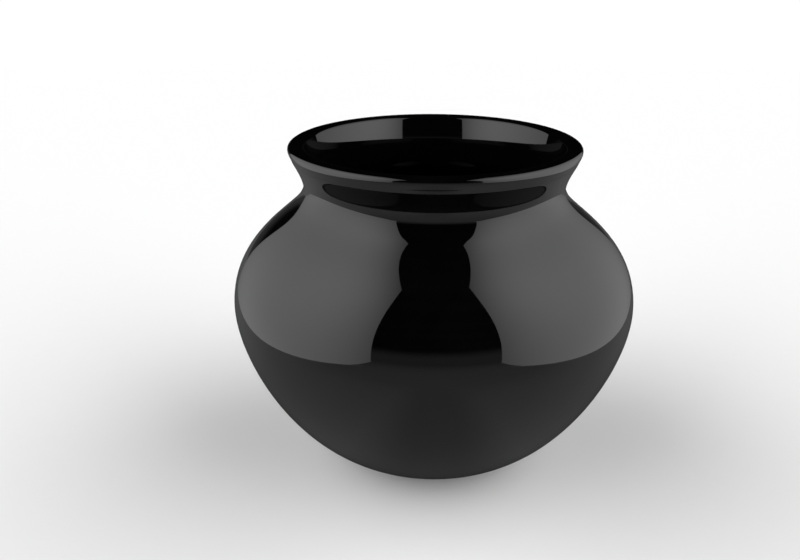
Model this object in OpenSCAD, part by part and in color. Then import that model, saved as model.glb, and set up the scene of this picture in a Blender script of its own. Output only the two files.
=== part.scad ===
// Round-bellied black clay pot with a flared neck and a thick rolled lip.
// The wall is a stack of clay pieces, as the potter puts it up: an opened lump for the base,
// then four thick coils, and the roll of the lip. Each piece laps the inside of the one below
// it along a bevelled seam that runs all round, so neighbours meet face to face.

/* [Whole pot] */
// Height from the surface it stands on to the top of the lip
pot_h = 205; // [190:1:220]
// Greatest diameter, at the belly
belly_d = 250; // [235:1:265]
// Height of the greatest diameter
belly_h = 107; // [98:1:114]

/* [Base] */
// Diameter of the flat that the pot stands on
foot_d = 67; // [40:1:90]
// Slope at which the bowl leaves the flat, in degrees
foot_slope = 5.5; // [2:0.5:12]
// Thickness of the clay at the middle of the base
base_t = 9; // [7:0.5:12]

/* [Shoulder and neck] */
// Diameter where the shoulder stops curving in and starts curving out
shoulder_d = 168; // [166:1:175]
// Depth of that place below the top of the lip
shoulder_drop = 34.7; // [32:0.1:38]
// Lean of the shoulder there, in degrees from upright
shoulder_lean = 40.5; // [36:0.5:46]
// Outer diameter of the neck at its narrowest
neck_d = 159; // [155:1:162]
// Depth of the narrowest part of the neck below the top of the lip
neck_drop = 25.5; // [24:0.1:27]

/* [Lip] */
// Outer diameter of the flare where the roll of the lip begins
flare_d = 172.2; // [169:0.2:174]
// Depth of that place below the top of the lip
flare_drop = 7.9; // [7:0.1:9.5]
// Lean of the flare there, in degrees from upright
flare_lean = 20; // [14:1:26]
// Diameter of the outer edge of the flat top of the lip
lip_d = 173; // [172:0.5:176]
// How far the roll's curve is drawn out past that edge
lip_bulge = 3.3; // [2:0.1:4.5]
// How far the flare's curve carries on into the roll
lip_run_on = 3.6; // [2:0.1:4.5]
// Width of the flat top of the lip
lip_flat = 6.1; // [5:0.1:8]
// Radius of the soft inner edge of the lip
lip_round = 2.7; // [1.5:0.1:4]
// Lean of the inside of the mouth as it comes up to that edge, in degrees from upright
mouth_lean = 21.5; // [15:0.5:28]

/* [Walls] */
// Thickness of the belly and shoulder walls
wall_t = 7; // [5.5:0.5:9]
// Thickness of the clay at the neck
neck_t = 5.8; // [5:0.1:8]

/* [Seams] */
// Least heights of the outer edges of the seams, from the base upwards
seam_heights = [38, 76, 112, 146, 178]; // [30:1:190]
// Outline steps by which the inner edge of a seam lies below its outer edge
seam_lap = 1; // [0:1:2]

/* [Curves] */
// A pull says how far a curve keeps to its direction at an end, as a share of the straight
// distance between its two ends. A pair of pulls is for the lower and the upper end.
// Outside of the bowl, from the foot
bowl_pull_low = 0.42; // [0.38:0.01:0.6]
// Outside of the bowl, up to the belly
bowl_pull_high = 0.21; // [0.18:0.01:0.35]
// Inside of the bowl, from the middle of the base
hollow_pull_low = 0.55; // [0.35:0.01:0.58]
// Inside of the bowl, up to the belly
hollow_pull_high = 0.21; // [0.15:0.01:0.25]
// Shoulder, from the belly to where it stops curving in
shoulder_pull = [0.48, 0.22]; // [0.15:0.01:0.6]
// Outside of the throat, from there to the narrowest part of the neck
throat_pull = [0.43, 0.15]; // [0.1:0.01:0.6]
// Inside of the throat
gullet_pull = [0.25, 0.45]; // [0.1:0.01:0.6]
// Outside of the flare, from the narrowest part of the neck to the roll of the lip
flare_pull = [0.35, 0.11]; // [0.1:0.01:0.5]
// Inside of the mouth, from the narrowest part of the neck to the lip's inner edge
mouth_pull = [0.3, 0.48]; // [0.1:0.01:0.6]

/* [Hidden] */
clay_black = [0.045, 0.045, 0.048];
turns_fn = 180;
// Steps along each curve of the outline
bowl_steps = 20;
shoulder_steps = 12;
throat_steps = 5;
flare_steps = 5;
lip_steps = 6;
// How far the roll's curve starts to fall before it reaches the flat top
lip_turn_down = 1.5;

// Unit direction in the outline's plane, leaning outward from upright by an angle
function lean(angle) = [sin(angle), cos(angle)];

// Point at t on the cubic curve with ends a and d and handles b and c
function on_curve(a, b, c, d, t) =
    pow(1 - t, 3) * a + 3 * pow(1 - t, 2) * t * b + 3 * (1 - t) * pow(t, 2) * c + pow(t, 3) * d;

// Points after p on the curve that leaves p along way_p and reaches q along way_q
function span(p, way_p, q, way_q, pulls, steps) =
    let (reach = norm(q - p))
    let (b = p + pulls[0] * reach * way_p)
    let (c = q - pulls[1] * reach * way_q)
    [for (i = [1:steps]) on_curve(p, b, c, q, i / steps)];

// Points after the start of an arc that sets off at a lean and turns outward to level
function edge_arc(centre, radius, start_lean, steps) =
    [for (i = [1:steps])
        let (a = start_lean + (90 - start_lean) * i / steps)
        centre + radius * [-cos(a), sin(a)]];

upright = lean(0);
foot_way = lean(90 - foot_slope);
shoulder_way = lean(-shoulder_lean);
flare_way = lean(flare_lean);
mouth_way = lean(mouth_lean);

// Stations of the outer face, as [radius, height]
out_foot = [foot_d / 2, 0];
out_belly = [belly_d / 2, belly_h];
out_shoulder = [shoulder_d / 2, pot_h - shoulder_drop];
out_neck = [neck_d / 2, pot_h - neck_drop];
out_flare = [flare_d / 2, pot_h - flare_drop];
out_lip = [lip_d / 2, pot_h];

// The roll of the lip: the flare carries on, turns over and comes back to the flat top
roll_b = out_flare + lip_run_on * flare_way;
roll_c = out_lip + [lip_bulge, -lip_turn_down];
roll = [for (i = [1:lip_steps]) on_curve(out_flare, roll_b, roll_c, out_lip, i / lip_steps)];

outer_line = concat(
    [out_foot],
    span(out_foot, foot_way, out_belly, upright, [bowl_pull_low, bowl_pull_high], bowl_steps),
    span(out_belly, upright, out_shoulder, shoulder_way, shoulder_pull, shoulder_steps),
    span(out_shoulder, shoulder_way, out_neck, upright, throat_pull, throat_steps),
    span(out_neck, upright, out_flare, flare_way, flare_pull, flare_steps),
    roll
);

// Stations of the inner face, set in from the outer ones by the wall's thickness there
in_base = [0, base_t];
in_belly = out_belly - [wall_t, 0];
in_shoulder = out_shoulder - wall_t * [cos(shoulder_lean), sin(shoulder_lean)];
in_neck = out_neck - [neck_t, 0];
lip_round_centre = out_lip - [lip_flat, lip_round];
in_edge = lip_round_centre + lip_round * [-cos(mouth_lean), sin(mouth_lean)];

inner_line = concat(
    [in_base],
    span(in_base, [1, 0], in_belly, upright, [hollow_pull_low, hollow_pull_high], bowl_steps),
    span(in_belly, upright, in_shoulder, shoulder_way, shoulder_pull, shoulder_steps),
    span(in_shoulder, shoulder_way, in_neck, upright, gullet_pull, throat_steps),
    span(in_neck, upright, in_edge, mouth_way, mouth_pull, flare_steps),
    edge_arc(lip_round_centre, lip_round, mouth_lean, lip_steps)
);

// Place in the outer line of the first point at or above a height
last = len(outer_line) - 1;
function place_at(height, i = 0) =
    outer_line[i][1] >= height || i == last ? i : place_at(height, i + 1);
seams = [for (height = seam_heights) place_at(height)];

// Wall turned round the axis from its lower to its upper places on the outer and inner lines.
// foot_points close the section where it reaches the axis.
module clay(outer_from, outer_to, inner_from, inner_to, foot_points = []) {
    outside = [for (i = [outer_from:outer_to]) outer_line[i]];
    inside = [for (i = [inner_to:-1:inner_from]) inner_line[i]];
    color(clay_black)
    rotate_extrude($fn = turns_fn)
    polygon(concat(foot_points, outside, inside));
}

// Ring of wall between the seam numbered k, from the base up, and the next
module coil(k) {
    clay(seams[k], seams[k + 1], seams[k] - seam_lap, seams[k + 1] - seam_lap);
}

module base_pinch_bowl() {
    clay(0, seams[0], 0, seams[0] - seam_lap, [[0, 0]]);
}

module lower_wall_coil() {
    coil(0);
}

module belly_coil() {
    coil(1);
}

module shoulder_coil() {
    coil(2);
}

module neck_coil() {
    coil(3);
}

module lip_roll() {
    clay(seams[4], last, seams[4] - seam_lap, last);
}

base_pinch_bowl();
lower_wall_coil();
belly_coil();
shoulder_coil();
neck_coil();
lip_roll();
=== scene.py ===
"""Looks for the black clay pot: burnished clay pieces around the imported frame, and a plain studio."""

import math

import bpy
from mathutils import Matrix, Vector


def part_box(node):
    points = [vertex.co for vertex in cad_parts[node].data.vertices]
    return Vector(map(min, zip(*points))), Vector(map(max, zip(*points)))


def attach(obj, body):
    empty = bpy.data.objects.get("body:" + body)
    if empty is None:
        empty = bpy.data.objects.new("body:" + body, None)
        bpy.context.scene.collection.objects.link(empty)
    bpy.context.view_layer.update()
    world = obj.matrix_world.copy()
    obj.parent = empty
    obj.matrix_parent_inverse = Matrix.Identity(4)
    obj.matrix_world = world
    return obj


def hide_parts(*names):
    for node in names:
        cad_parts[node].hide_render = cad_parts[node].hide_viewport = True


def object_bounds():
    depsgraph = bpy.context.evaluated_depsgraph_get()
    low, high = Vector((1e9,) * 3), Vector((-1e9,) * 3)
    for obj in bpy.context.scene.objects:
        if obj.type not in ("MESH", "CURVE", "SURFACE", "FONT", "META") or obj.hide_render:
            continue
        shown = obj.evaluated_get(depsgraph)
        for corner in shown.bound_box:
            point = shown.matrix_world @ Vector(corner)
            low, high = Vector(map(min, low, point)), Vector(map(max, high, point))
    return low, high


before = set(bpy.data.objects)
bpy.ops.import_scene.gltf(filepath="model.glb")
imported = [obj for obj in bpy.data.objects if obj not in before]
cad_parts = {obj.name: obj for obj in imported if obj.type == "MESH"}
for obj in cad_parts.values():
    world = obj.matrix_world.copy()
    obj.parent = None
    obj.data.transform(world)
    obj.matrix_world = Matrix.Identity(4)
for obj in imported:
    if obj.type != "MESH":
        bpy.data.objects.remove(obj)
cad_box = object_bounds()

# ---------------------------------------------------------------- sizes
PIECES = ["base_pinch_bowl", "lower_wall_coil", "belly_coil", "shoulder_coil", "neck_coil", "lip_roll"]
SLOT = "burnished_black_clay"
DRAWN_HEIGHT = 205.0  # the outline below is drawn in millimetres, for a pot of this height
POT_HEIGHT = cad_box[1][2] - cad_box[0][2]
MM = POT_HEIGHT / DRAWN_HEIGHT  # metres for each millimetre of the drawing
LIP_RADIUS = 86.5 * MM
TURN_STEPS = 200  # facets round the axis
AXIS = 1e-9  # a radius under this is on the axis
SAME_POINT = 1e-7  # points nearer to each other than this are one point
SEAM_SEARCH = 50  # halvings in the search for the place of a seam
LEAST_SHARE = 1e-6  # a smaller share of a curve than this is left out


# ---------------------------------------------------------------- outline
def station(radius, height):
    return Vector((radius, height)) * MM


def lean(degrees):
    """Unit direction in the outline's plane, leaning outward from upright."""
    return Vector((math.sin(math.radians(degrees)), math.cos(math.radians(degrees))))


def left_of(way):
    """Unit direction square to way, to its left: toward the hollow where way goes up."""
    return Vector((-way.y, way.x))


class Curve:
    """Cubic curve of the outline, given by its four control points."""

    def __init__(self, a, b, c, d, steps):
        self.points = (a, b, c, d)
        self.steps = steps

    def at(self, t):
        a, b, c, d = self.points
        return (1 - t) ** 3 * a + 3 * (1 - t) ** 2 * t * b + 3 * (1 - t) * t * t * c + t**3 * d

    def way(self, t):
        a, b, c, d = self.points
        return ((1 - t) ** 2 * (b - a) + 2 * (1 - t) * t * (c - b) + t * t * (d - c)).normalized()

    def place(self, height):
        """The share of the curve that lies below a height."""
        if height <= self.points[0].y:
            return 0.0
        if height >= self.points[3].y:
            return 1.0
        low, high = 0.0, 1.0
        for _ in range(SEAM_SEARCH):
            middle = (low + high) / 2
            if self.at(middle).y < height:
                low = middle
            else:
                high = middle
        return (low + high) / 2


def span(start, way_out, end, way_in, pulls, steps):
    """Curve that leaves start along way_out and reaches end along way_in."""
    reach = (end - start).length
    return Curve(start, start + way_out * pulls[0] * reach, end - way_in * pulls[1] * reach, end, steps)


UPRIGHT = lean(0)
OUTWARD = lean(90)
FOOT_WAY = lean(84.5)
SHOULDER_WAY = lean(-40.5)
FLARE_WAY = lean(20)
MOUTH_LEAN = 21.5
MOUTH_WAY = lean(MOUTH_LEAN)

# Sizes in the drawing's millimetres
WALL = 7.0
NECK_WALL = 5.8
BASE_THICKNESS = 9.0
LIP_FLAT = 6.1  # width of the lip's flat top
LIP_ROUND = 2.7  # radius of its soft inner edge
LIP_RUN_ON = 3.6  # how far the flare carries on into the roll of the lip
LIP_BULGE = 3.3  # how far the roll is drawn out past the flat top's outer edge
LIP_TURN_DOWN = 1.5  # how far the roll starts to fall before it reaches that edge

# How far a curve keeps to its direction at its start and at its end, as shares of its straight length
BOWL_PULLS = (0.42, 0.21)
SHOULDER_PULLS = (0.48, 0.22)
THROAT_PULLS = (0.43, 0.15)
FLARE_PULLS = (0.35, 0.11)
HOLLOW_PULLS = (0.55, 0.21)
GULLET_PULLS = (0.25, 0.45)
MOUTH_PULLS = (0.3, 0.48)

# Steps along a whole curve
BOWL_STEPS = 52
SHOULDER_STEPS = 32
THROAT_STEPS = 14
FLARE_STEPS = 14
ROLL_STEPS = 20
MOUTH_STEPS = 18
EDGE_STEPS = 10

# Stations of the outer face, and of the inner face set in from them
out_foot = station(33.5, 0)
out_belly = station(125, 107)
out_shoulder = station(84, 170.3)
out_neck = station(79.5, 179.5)
out_flare = station(86.1, 197.1)
out_lip = station(86.5, 205)

in_base = station(0, BASE_THICKNESS)
in_belly = out_belly - station(WALL, 0)
in_shoulder = out_shoulder + left_of(SHOULDER_WAY) * WALL * MM
in_neck = out_neck - station(NECK_WALL, 0)
in_edge = out_lip - station(LIP_FLAT, LIP_ROUND) + left_of(MOUTH_WAY) * LIP_ROUND * MM
in_lip = out_lip - station(LIP_FLAT, 0)

# The soft inner edge is an arc from the mouth's lean to level. This handle makes a cubic curve that arc.
EDGE_TURN = math.radians(90 - MOUTH_LEAN)
EDGE_HANDLE = math.tan(EDGE_TURN / 4) * 4 / 3 * LIP_ROUND * MM

roll_start = out_flare + FLARE_WAY * LIP_RUN_ON * MM
roll_end = out_lip + station(LIP_BULGE, -LIP_TURN_DOWN)

OUTER = [
    span(out_foot, FOOT_WAY, out_belly, UPRIGHT, BOWL_PULLS, BOWL_STEPS),
    span(out_belly, UPRIGHT, out_shoulder, SHOULDER_WAY, SHOULDER_PULLS, SHOULDER_STEPS),
    span(out_shoulder, SHOULDER_WAY, out_neck, UPRIGHT, THROAT_PULLS, THROAT_STEPS),
    span(out_neck, UPRIGHT, out_flare, FLARE_WAY, FLARE_PULLS, FLARE_STEPS),
    Curve(out_flare, roll_start, roll_end, out_lip, ROLL_STEPS),
]
INNER = [
    span(in_base, OUTWARD, in_belly, UPRIGHT, HOLLOW_PULLS, BOWL_STEPS),
    span(in_belly, UPRIGHT, in_shoulder, SHOULDER_WAY, SHOULDER_PULLS, SHOULDER_STEPS),
    span(in_shoulder, SHOULDER_WAY, in_neck, UPRIGHT, GULLET_PULLS, THROAT_STEPS),
    span(in_neck, UPRIGHT, in_edge, MOUTH_WAY, MOUTH_PULLS, MOUTH_STEPS),
    Curve(in_edge, in_edge + MOUTH_WAY * EDGE_HANDLE, in_lip - OUTWARD * EDGE_HANDLE, in_lip, EDGE_STEPS),
]


def run_along(curves, low, high, side):
    """Samples (point, normal) going up the curves between two heights.

    side is 1 for the outer face and -1 for the inner.
    """
    samples = []
    for curve in curves:
        start, end = curve.place(low), curve.place(high)
        if end - start < LEAST_SHARE:
            continue
        steps = max(1, math.ceil(curve.steps * (end - start)))
        for i in range(steps + 1):
            t = start + (end - start) * i / steps
            way = curve.way(t)
            sample = (curve.at(t), Vector((way.y, -way.x)) * side)
            if samples and (samples[-1][0] - sample[0]).length < SAME_POINT:
                continue
            samples.append(sample)
    return samples


def flat_run(start, end):
    """The straight cut from one point of the section to another, with the clay on its left."""
    way = (end - start).normalized()
    normal = Vector((way.y, -way.x))
    return [(start, normal), (end, normal)]


# ---------------------------------------------------------------- meshes
def revolve(name, runs):
    """Turns a section's runs round the axis.

    Neighbouring runs share a ring of points, and each run keeps its own exact normals.
    """
    rings, strips = [], []
    for run in runs:
        for k, (point, normal) in enumerate(run):
            if not rings or (rings[-1] - point).length > SAME_POINT:
                rings.append(point)
            if k:
                strips.append((len(rings) - 2, len(rings) - 1, run[k - 1][1], normal))
    if (rings[-1] - rings[0]).length < SAME_POINT:
        last = len(rings) - 1
        rings.pop()
        strips = [(a % last, b % last, na, nb) for a, b, na, nb in strips]

    turn = [2 * math.pi * j / TURN_STEPS for j in range(TURN_STEPS)]
    around = [(math.cos(a), math.sin(a)) for a in turn]
    points, first = [], []
    for ring in rings:
        first.append(len(points))
        if ring.x < AXIS:
            points.append((0.0, 0.0, ring.y))
        else:
            points += [(ring.x * c, ring.x * s, ring.y) for c, s in around]

    def at(ring, j):
        return first[ring] + (0 if rings[ring].x < AXIS else j % TURN_STEPS)

    def normal_at(normal, j):
        c, s = around[j % TURN_STEPS]
        return (normal.x * c, normal.x * s, normal.y)

    faces, normals = [], []
    for a, b, normal_a, normal_b in strips:
        for j in range(TURN_STEPS):
            corners = [(at(a, j), normal_a, j), (at(a, j + 1), normal_a, j + 1)]
            corners += [(at(b, j + 1), normal_b, j + 1), (at(b, j), normal_b, j)]
            kept = []
            for corner in corners:
                if corner[0] not in [k[0] for k in kept]:
                    kept.append(corner)
            faces.append([k[0] for k in kept])
            normals += [normal_at(k[1], k[2]) for k in kept]

    mesh = bpy.data.meshes.new(name)
    mesh.from_pydata(points, [], faces)
    mesh.polygons.foreach_set("use_smooth", [True] * len(faces))
    mesh.normals_split_custom_set(normals)
    mesh.update()
    piece = bpy.data.objects.new(name, mesh)
    bpy.context.scene.collection.objects.link(piece)
    return piece


def clay_section(k):
    """Runs of the section of piece k, between its seams.

    The nodes' boxes give the seams: a seam's outer edge is the top of the node below it, and its inner edge
    is the bottom of the node above it.
    """
    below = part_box(PIECES[k - 1])[1][2] if k else 0.0
    own_bottom, own_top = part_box(PIECES[k])[0][2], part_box(PIECES[k])[1][2]
    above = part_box(PIECES[k + 1])[0][2] if k + 1 < len(PIECES) else POT_HEIGHT
    outer = run_along(OUTER, below, own_top, 1)
    inner = run_along(INNER, own_bottom if k else 0.0, above, -1)[::-1]
    runs = [outer, flat_run(outer[-1][0], inner[0][0]), inner]
    if k == 0:
        middle = Vector((0.0, 0.0))
        return [flat_run(middle, outer[0][0])] + runs
    return runs + [flat_run(inner[-1][0], outer[0][0])]


# ---------------------------------------------------------------- materials
CLAY_DARK = (0.0006, 0.0006, 0.0007, 1)
CLAY_PALE = (0.0016, 0.0015, 0.0015, 1)
CLAY_SCUFFED = (0.021, 0.020, 0.019, 1)
CLAY_IOR = 1.35
STROKE_SCALE = (9.0, 9.0, 260.0)  # the burnishing strokes are long and level
CLOUD_SCALE = 22.0
GRAIN_SCALE = 900.0
SCUFFED_TO = (0.0004, 0.0016)  # the scuffs of the foot end between these heights

# For remap: the range of the noise that counts, and what is added at its two ends
CLOUD_TONE = (0.35, 0.7, 0.0, 0.6)
STROKE_TONE = (0.4, 0.75, 0.0, 0.4)
CLOUD_DULLS = (0.4, 0.75, 0.0, 0.02)
STROKE_DULLS = (0.45, 0.8, 0.0, 0.03)

MIRROR = 0.018  # roughness where the polish is best
SCUFFED_DULLS = 0.35  # roughness that the scuffs add
GRAIN_DULLS = 0.3  # and that their grain adds
STROKE_RELIEF = 0.35
CLOUD_RELIEF = 0.6
SCUFFED_RELIEF = 6.0
BUMP_STRENGTH = 0.05
BUMP_DISTANCE = 0.0002

# The specular level falls to nothing where the surface is seen edge on, which keeps the pot's rims dark
SPECULAR = 0.535  # where it is seen square on
SPECULAR_TURN = 2.8  # power of the layer weight's facing
SPECULAR_FALL = 5.1  # power of one less that


def nodes_for(name):
    material = bpy.data.materials.new(name)
    material.use_nodes = True
    tree = material.node_tree
    tree.nodes.clear()
    output = tree.nodes.new("ShaderNodeOutputMaterial")
    return material, tree, output


def add(tree, kind, **values):
    """New node with its settings and inputs set from values, by name, or i and a number for an input.

    A socket as a value is linked.
    """
    node = tree.nodes.new(kind)
    for key, value in values.items():
        if hasattr(node, key) and key not in node.inputs:
            setattr(node, key, value)
            continue
        socket = node.inputs[int(key[1:])] if key[0] == "i" and key[1:].isdigit() else node.inputs[key]
        if isinstance(value, bpy.types.NodeSocket):
            tree.links.new(value, socket)
        else:
            socket.default_value = value
    return node


def maths(tree, operation, a, b=0.0):
    return add(tree, "ShaderNodeMath", operation=operation, i0=a, i1=b).outputs[0]


def noise(tree, place, scale, detail, roughness=0.5):
    texture = add(tree, "ShaderNodeTexNoise", Vector=place, Scale=scale, Detail=detail, Roughness=roughness)
    return texture.outputs["Fac"]


def remap(tree, value, low, high, to_low, to_high):
    """Carries value smoothly from to_low to to_high as it goes from low to high."""
    node = add(tree, "ShaderNodeMapRange", interpolation_type="SMOOTHSTEP")
    limits = {"From Min": low, "From Max": high, "To Min": to_low, "To Max": to_high}
    for name, limit in limits.items():
        node.inputs[name].default_value = limit
    tree.links.new(value, node.inputs["Value"])
    return node.outputs["Result"]


def burnished_clay():
    """Black clay rubbed to a mirror, with faint level strokes and clouds, and a dull scuffed foot."""
    material, tree, output = nodes_for(SLOT)
    shader = add(tree, "ShaderNodeBsdfPrincipled", IOR=CLAY_IOR)
    tree.links.new(shader.outputs[0], output.inputs[0])
    place = add(tree, "ShaderNodeTexCoord").outputs["Object"]

    along_strokes = add(tree, "ShaderNodeMapping", Vector=place, Scale=STROKE_SCALE).outputs[0]
    stroke = noise(tree, along_strokes, 1.0, 4.0, 0.6)
    cloud = noise(tree, place, CLOUD_SCALE, 5.0, 0.55)
    grain = noise(tree, place, GRAIN_SCALE, 2.0)

    height = add(tree, "ShaderNodeSeparateXYZ", Vector=place).outputs["Z"]
    foot = remap(tree, height, *SCUFFED_TO, 1.0, 0.0)

    tone = maths(tree, "ADD", remap(tree, cloud, *CLOUD_TONE), remap(tree, stroke, *STROKE_TONE))
    clay = add(tree, "ShaderNodeMix", data_type="RGBA", i0=tone, i6=CLAY_DARK, i7=CLAY_PALE).outputs[2]
    colour = add(tree, "ShaderNodeMix", data_type="RGBA", i0=foot, i6=clay, i7=CLAY_SCUFFED).outputs[2]
    tree.links.new(colour, shader.inputs["Base Color"])

    uneven = maths(tree, "ADD", remap(tree, stroke, *STROKE_DULLS), remap(tree, cloud, *CLOUD_DULLS))
    polished = maths(tree, "ADD", uneven, MIRROR)
    scuffs = maths(tree, "ADD", maths(tree, "MULTIPLY", grain, GRAIN_DULLS), SCUFFED_DULLS)
    roughness = maths(tree, "ADD", polished, maths(tree, "MULTIPLY", foot, scuffs))
    tree.links.new(roughness, shader.inputs["Roughness"])

    stroke_relief = maths(tree, "MULTIPLY", stroke, STROKE_RELIEF)
    polished_relief = maths(tree, "ADD", stroke_relief, maths(tree, "MULTIPLY", cloud, CLOUD_RELIEF))
    scuffed_relief = maths(tree, "MULTIPLY", grain, maths(tree, "MULTIPLY", foot, SCUFFED_RELIEF))
    relief = maths(tree, "ADD", polished_relief, scuffed_relief)
    bump = add(tree, "ShaderNodeBump", Strength=BUMP_STRENGTH, Distance=BUMP_DISTANCE, Height=relief)
    tree.links.new(bump.outputs[0], shader.inputs["Normal"])

    facing = add(tree, "ShaderNodeLayerWeight", Blend=0.5).outputs["Facing"]
    held = maths(tree, "SUBTRACT", 1.0, maths(tree, "POWER", facing, SPECULAR_TURN))
    specular = maths(tree, "MULTIPLY", maths(tree, "POWER", held, SPECULAR_FALL), SPECULAR)
    tree.links.new(specular, shader.inputs["Specular IOR Level"])
    return material


clay = burnished_clay()
for k, name in enumerate(PIECES):
    piece = revolve(name + "_clay", clay_section(k))
    piece.data.materials.append(clay)
    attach(piece, "root")
    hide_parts(name)

# ---------------------------------------------------------------- studio
FLOOR_SIZE = 9.0
FLOOR_TONE = 0.8
FLOOR_GRAIN = 0.005  # its tone varies by this much either way
FLOOR_GRAIN_SCALE = 60.0
FLOOR_IN_GLOSS = 0.475  # how much of the floor the clay's gloss takes up
POOL_GAIN = 1.25  # and how much more where the side lights pool, a painted pool of light
POOL_ASIDE = (0.2 * LIP_RADIUS, 0.9 * LIP_RADIUS)
POOL_DIP = -0.12  # share of the gain that is taken away in front of the pot, between the pools: painted shade
POOL_NEARBY = (-3.9 * LIP_RADIUS, -0.4 * LIP_RADIUS)
SPILL_GAIN = 1.1  # and where a soft box spills on the floor at its foot, a painted pool of light
SPILL_ASIDE = (3.8 * LIP_RADIUS, 4.05 * LIP_RADIUS)
SPILL_ALONG = (-6.6 * LIP_RADIUS, -5.0 * LIP_RADIUS)
FLOOR_NEAR = 0.5  # the floor is whole up to this distance from the middle of its pool of light
FLOOR_FAR = 1.5  # and in the gloss it has melted away at this one
FLOOR_END = (1.2, 3.4)  # and to the eye between these
POOL_BACK = 0.25  # the pool's middle lies this far behind the pot
SHADOW_PAINT_DEPTH = 0.06  # painted shadow: the floor's colour is darker by this much in a ring round the pot
SHADOW_PAINT_START = (0.6 * LIP_RADIUS, 1.3 * LIP_RADIUS)
SHADOW_PAINT_END = (1.3 * LIP_RADIUS, 3.4 * LIP_RADIUS)


def sheet_object(name, corners, material):
    mesh = bpy.data.meshes.new(name)
    mesh.from_pydata(corners, [], [tuple(range(len(corners)))])
    mesh.materials.append(material)
    made = bpy.data.objects.new(name, mesh)
    bpy.context.scene.collection.objects.link(made)
    return made


def floor_material():
    material, tree, output = nodes_for("studio_floor")
    place = add(tree, "ShaderNodeTexCoord").outputs["Object"]
    pool_middle = (0, POOL_BACK, 0)
    from_pool = add(tree, "ShaderNodeVectorMath", operation="SUBTRACT", i0=place, i1=pool_middle).outputs[0]
    distance = add(tree, "ShaderNodeVectorMath", operation="LENGTH", i0=from_pool).outputs["Value"]
    grain = noise(tree, place, FLOOR_GRAIN_SCALE, 3.0)
    pale, paler = [(FLOOR_TONE + change,) * 3 + (1,) for change in (-FLOOR_GRAIN, FLOOR_GRAIN)]
    tone = add(tree, "ShaderNodeMix", data_type="RGBA", i0=grain, i6=pale, i7=paler).outputs[2]
    from_pot = add(tree, "ShaderNodeVectorMath", operation="LENGTH", i0=place).outputs["Value"]
    # Painted shadow: the floor's colour is made darker in a ring round the pot, where the pot's shade falls
    painted_shadow_in = remap(tree, from_pot, *SHADOW_PAINT_START, 0.0, SHADOW_PAINT_DEPTH)
    ring = maths(tree, "MULTIPLY", painted_shadow_in, remap(tree, from_pot, *SHADOW_PAINT_END, 1.0, 0.0))
    shadowed_tone = add(tree, "ShaderNodeVectorMath", operation="SCALE", i0=tone)
    tree.links.new(maths(tree, "SUBTRACT", 1.0, ring), shadowed_tone.inputs["Scale"])
    paper = add(tree, "ShaderNodeBsdfDiffuse", Color=shadowed_tone.outputs[0]).outputs[0]
    clear = add(tree, "ShaderNodeBsdfTransparent").outputs[0]
    in_eye = remap(tree, distance, *FLOOR_END, 1.0, 0.0)

    parts = add(tree, "ShaderNodeSeparateXYZ", Vector=place).outputs
    # Painted light and shade on the floor as the gloss sees it: pools of light beside the pot and at the
    # soft boxes' feet, and shade in front of the pot
    aside = remap(tree, maths(tree, "ABSOLUTE", parts["X"]), *POOL_ASIDE, POOL_DIP, 1.0)
    nearby = remap(tree, parts["Y"], *POOL_NEARBY, 0.0, 1.0)
    pool = maths(tree, "MULTIPLY", maths(tree, "MULTIPLY", aside, nearby), POOL_GAIN)
    at_box = remap(tree, maths(tree, "ABSOLUTE", parts["X"]), *SPILL_ASIDE, 0.0, SPILL_GAIN)
    spill = maths(tree, "MULTIPLY", at_box, remap(tree, parts["Y"], *SPILL_ALONG, 0.0, 1.0))
    more = maths(tree, "ADD", pool, spill)
    painted_gloss_light = maths(tree, "MULTIPLY", maths(tree, "ADD", more, 1.0), FLOOR_IN_GLOSS)
    in_gloss = maths(tree, "MULTIPLY", remap(tree, distance, FLOOR_NEAR, FLOOR_FAR, 1.0, 0.0), painted_gloss_light)
    by_gloss = add(tree, "ShaderNodeLightPath").outputs["Is Glossy Ray"]
    whole = add(tree, "ShaderNodeMix", data_type="FLOAT", i0=by_gloss, i2=in_eye, i3=in_gloss).outputs[0]
    mixed = add(tree, "ShaderNodeMixShader", i0=whole, i1=clear, i2=paper)
    tree.links.new(mixed.outputs[0], output.inputs[0])
    return material


half = FLOOR_SIZE / 2
floor_corners = [(-half, -half, 0), (half, -half, 0), (half, half, 0), (-half, half, 0)]
sheet_object("floor", floor_corners, floor_material())

# Two tall soft boxes stand either side of the pot, seen only in gloss. Their outlines are in lip radii.
BOX_SIDE = 4.05 * LIP_RADIUS
BOX_CORNER = ((-4.7, 0.0), (-5.8, 0.17), (-6.82, 0.45))  # y and z of the cut across its lower front corner
# How far back a box reaches (y), how high its top is (z), and where the top ends in front (y)
BOX_BACK_TOP_HEAD = {"soft_box_left": (4.2, 16.3, -6.45), "soft_box_right": (5.2, 15.7, -5.8)}
BOX_PEAK = 4.0  # radiance at its brightest
BOX_BRIGHT_Y = -1.6 * LIP_RADIUS
BOX_BRIGHT_Z = 4.9 * LIP_RADIUS
BOX_FADE_Y = 5.0 * LIP_RADIUS  # it has half its radiance this far from there
BOX_FADE_Z = 9.0 * LIP_RADIUS


def soft_box_material():
    material, tree, output = nodes_for("soft_box")
    place = add(tree, "ShaderNodeTexCoord").outputs["Object"]
    parts = add(tree, "ShaderNodeSeparateXYZ", Vector=place).outputs
    along = maths(tree, "DIVIDE", maths(tree, "SUBTRACT", parts["Y"], BOX_BRIGHT_Y), BOX_FADE_Y)
    up = maths(tree, "DIVIDE", maths(tree, "SUBTRACT", parts["Z"], BOX_BRIGHT_Z), BOX_FADE_Z)
    spread = maths(tree, "ADD", maths(tree, "MULTIPLY", along, along), maths(tree, "MULTIPLY", up, up))
    strength = maths(tree, "DIVIDE", BOX_PEAK, maths(tree, "ADD", spread, 1.0))
    glow = add(tree, "ShaderNodeEmission", Strength=strength)
    tree.links.new(glow.outputs[0], output.inputs[0])
    return material


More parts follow.
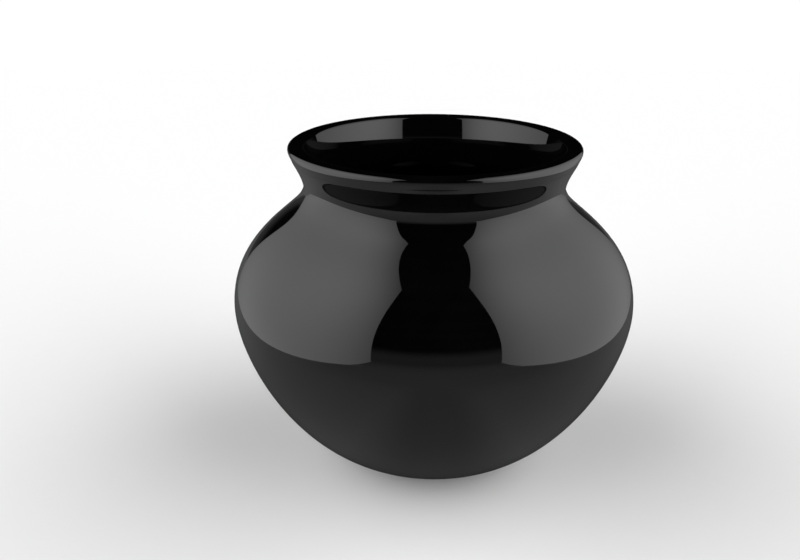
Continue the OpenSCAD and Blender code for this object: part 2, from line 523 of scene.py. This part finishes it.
box_light = soft_box_material()
for name, x in (("soft_box_left", -BOX_SIDE), ("soft_box_right", BOX_SIDE)):
    back, top, head = BOX_BACK_TOP_HEAD[name]
    outline = [(back, 0.0), (back, top), (head, top)] + list(reversed(BOX_CORNER))
    corners = [(x, y * LIP_RADIUS, z * LIP_RADIUS) for y, z in outline]
    soft_box = sheet_object(name, corners, box_light)
    soft_box.visible_camera = False
    soft_box.visible_diffuse = False
    soft_box.visible_shadow = False
    soft_box.visible_transmission = False

# The sky is white to the eye, and black to the gloss but for a glow low down.
# For the floor it is a pair of wide lights at the sides.
WHITE = (1, 1, 1, 1)
SKY_WHITE = 1.02
SIDE_LIGHT = 3.65 / FLOOR_TONE  # strength of the side lights at the horizon
SIDE_FRONT = (-0.89, -0.71)  # a side light fades in between these, along the level direction's Y
SIDE_BACK = (0.42, 0.97)  # and out between these
GLOW = 0.3
GLOW_BOTTOM = (0.0, -0.08)  # it starts to fade at these heights of the direction, in front and behind
GLOW_TOP = (0.2, 0.105)  # and is gone at these
GLOW_TURN = (-0.3, 0.5)  # front turns into behind between these, along the direction's Y


def studio_world():
    world = bpy.data.worlds.new("studio")
    bpy.context.scene.world = world
    world.use_nodes = True
    tree = world.node_tree
    tree.nodes.clear()
    output = tree.nodes.new("ShaderNodeOutputWorld")
    way = add(tree, "ShaderNodeTexCoord").outputs["Generated"]
    parts = add(tree, "ShaderNodeSeparateXYZ", Vector=way).outputs
    level = maths(tree, "SUBTRACT", 1.0, maths(tree, "MULTIPLY", parts["Z"], parts["Z"]))
    along = maths(tree, "DIVIDE", parts["Y"], maths(tree, "SQRT", level))
    fade_in = remap(tree, along, *SIDE_FRONT, 0.0, 1.0)
    sides = maths(tree, "MULTIPLY", fade_in, remap(tree, along, *SIDE_BACK, 1.0, 0.0))
    above = maths(tree, "GREATER_THAN", parts["Z"], 0.0)
    sides_above = maths(tree, "MULTIPLY", sides, above)
    light = maths(tree, "MULTIPLY", sides_above, maths(tree, "MULTIPLY", level, SIDE_LIGHT))
    behind = remap(tree, parts["Y"], *GLOW_TURN, 0.0, 1.0)
    bottom, top = [
        add(tree, "ShaderNodeMix", data_type="FLOAT", i0=behind, i2=pair[0], i3=pair[1]).outputs[0]
        for pair in (GLOW_BOTTOM, GLOW_TOP)
    ]
    height = maths(tree, "SUBTRACT", parts["Z"], bottom)
    risen = maths(tree, "DIVIDE", height, maths(tree, "SUBTRACT", top, bottom))
    glow = remap(tree, risen, 0.0, 1.0, GLOW, 0.0)

    path = add(tree, "ShaderNodeLightPath").outputs
    for_floor = add(tree, "ShaderNodeBackground", Color=WHITE, Strength=light).outputs[0]
    for_gloss = add(tree, "ShaderNodeBackground", Color=WHITE, Strength=glow).outputs[0]
    for_eye = add(tree, "ShaderNodeBackground", Color=WHITE, Strength=SKY_WHITE).outputs[0]
    unseen = add(tree, "ShaderNodeMixShader", i0=path["Is Glossy Ray"], i1=for_floor, i2=for_gloss)
    mixed = add(tree, "ShaderNodeMixShader", i0=path["Is Camera Ray"], i1=unseen.outputs[0], i2=for_eye)
    tree.links.new(mixed.outputs[0], output.inputs[0])


studio_world()
bpy.context.scene.view_settings.view_transform = "Standard"

# ---------------------------------------------------------------- camera
# From the middle of the lip's flat top
CAMERA_FROM_MOUTH = Vector((-0.2403, -6.0997, 1.3707)) * LIP_RADIUS
CAMERA_PITCH = 21.51  # degrees below level
camera_data = bpy.data.cameras.new("camera")
camera_data.sensor_width = 36.0
camera_data.lens = 40.0
camera_data.clip_start = 0.01
camera = bpy.data.objects.new("camera", camera_data)
camera.location = Vector((0, 0, POT_HEIGHT)) + CAMERA_FROM_MOUTH
camera.rotation_euler = (math.radians(90 - CAMERA_PITCH), 0, 0)
bpy.context.scene.collection.objects.link(camera)
bpy.context.scene.camera = camera
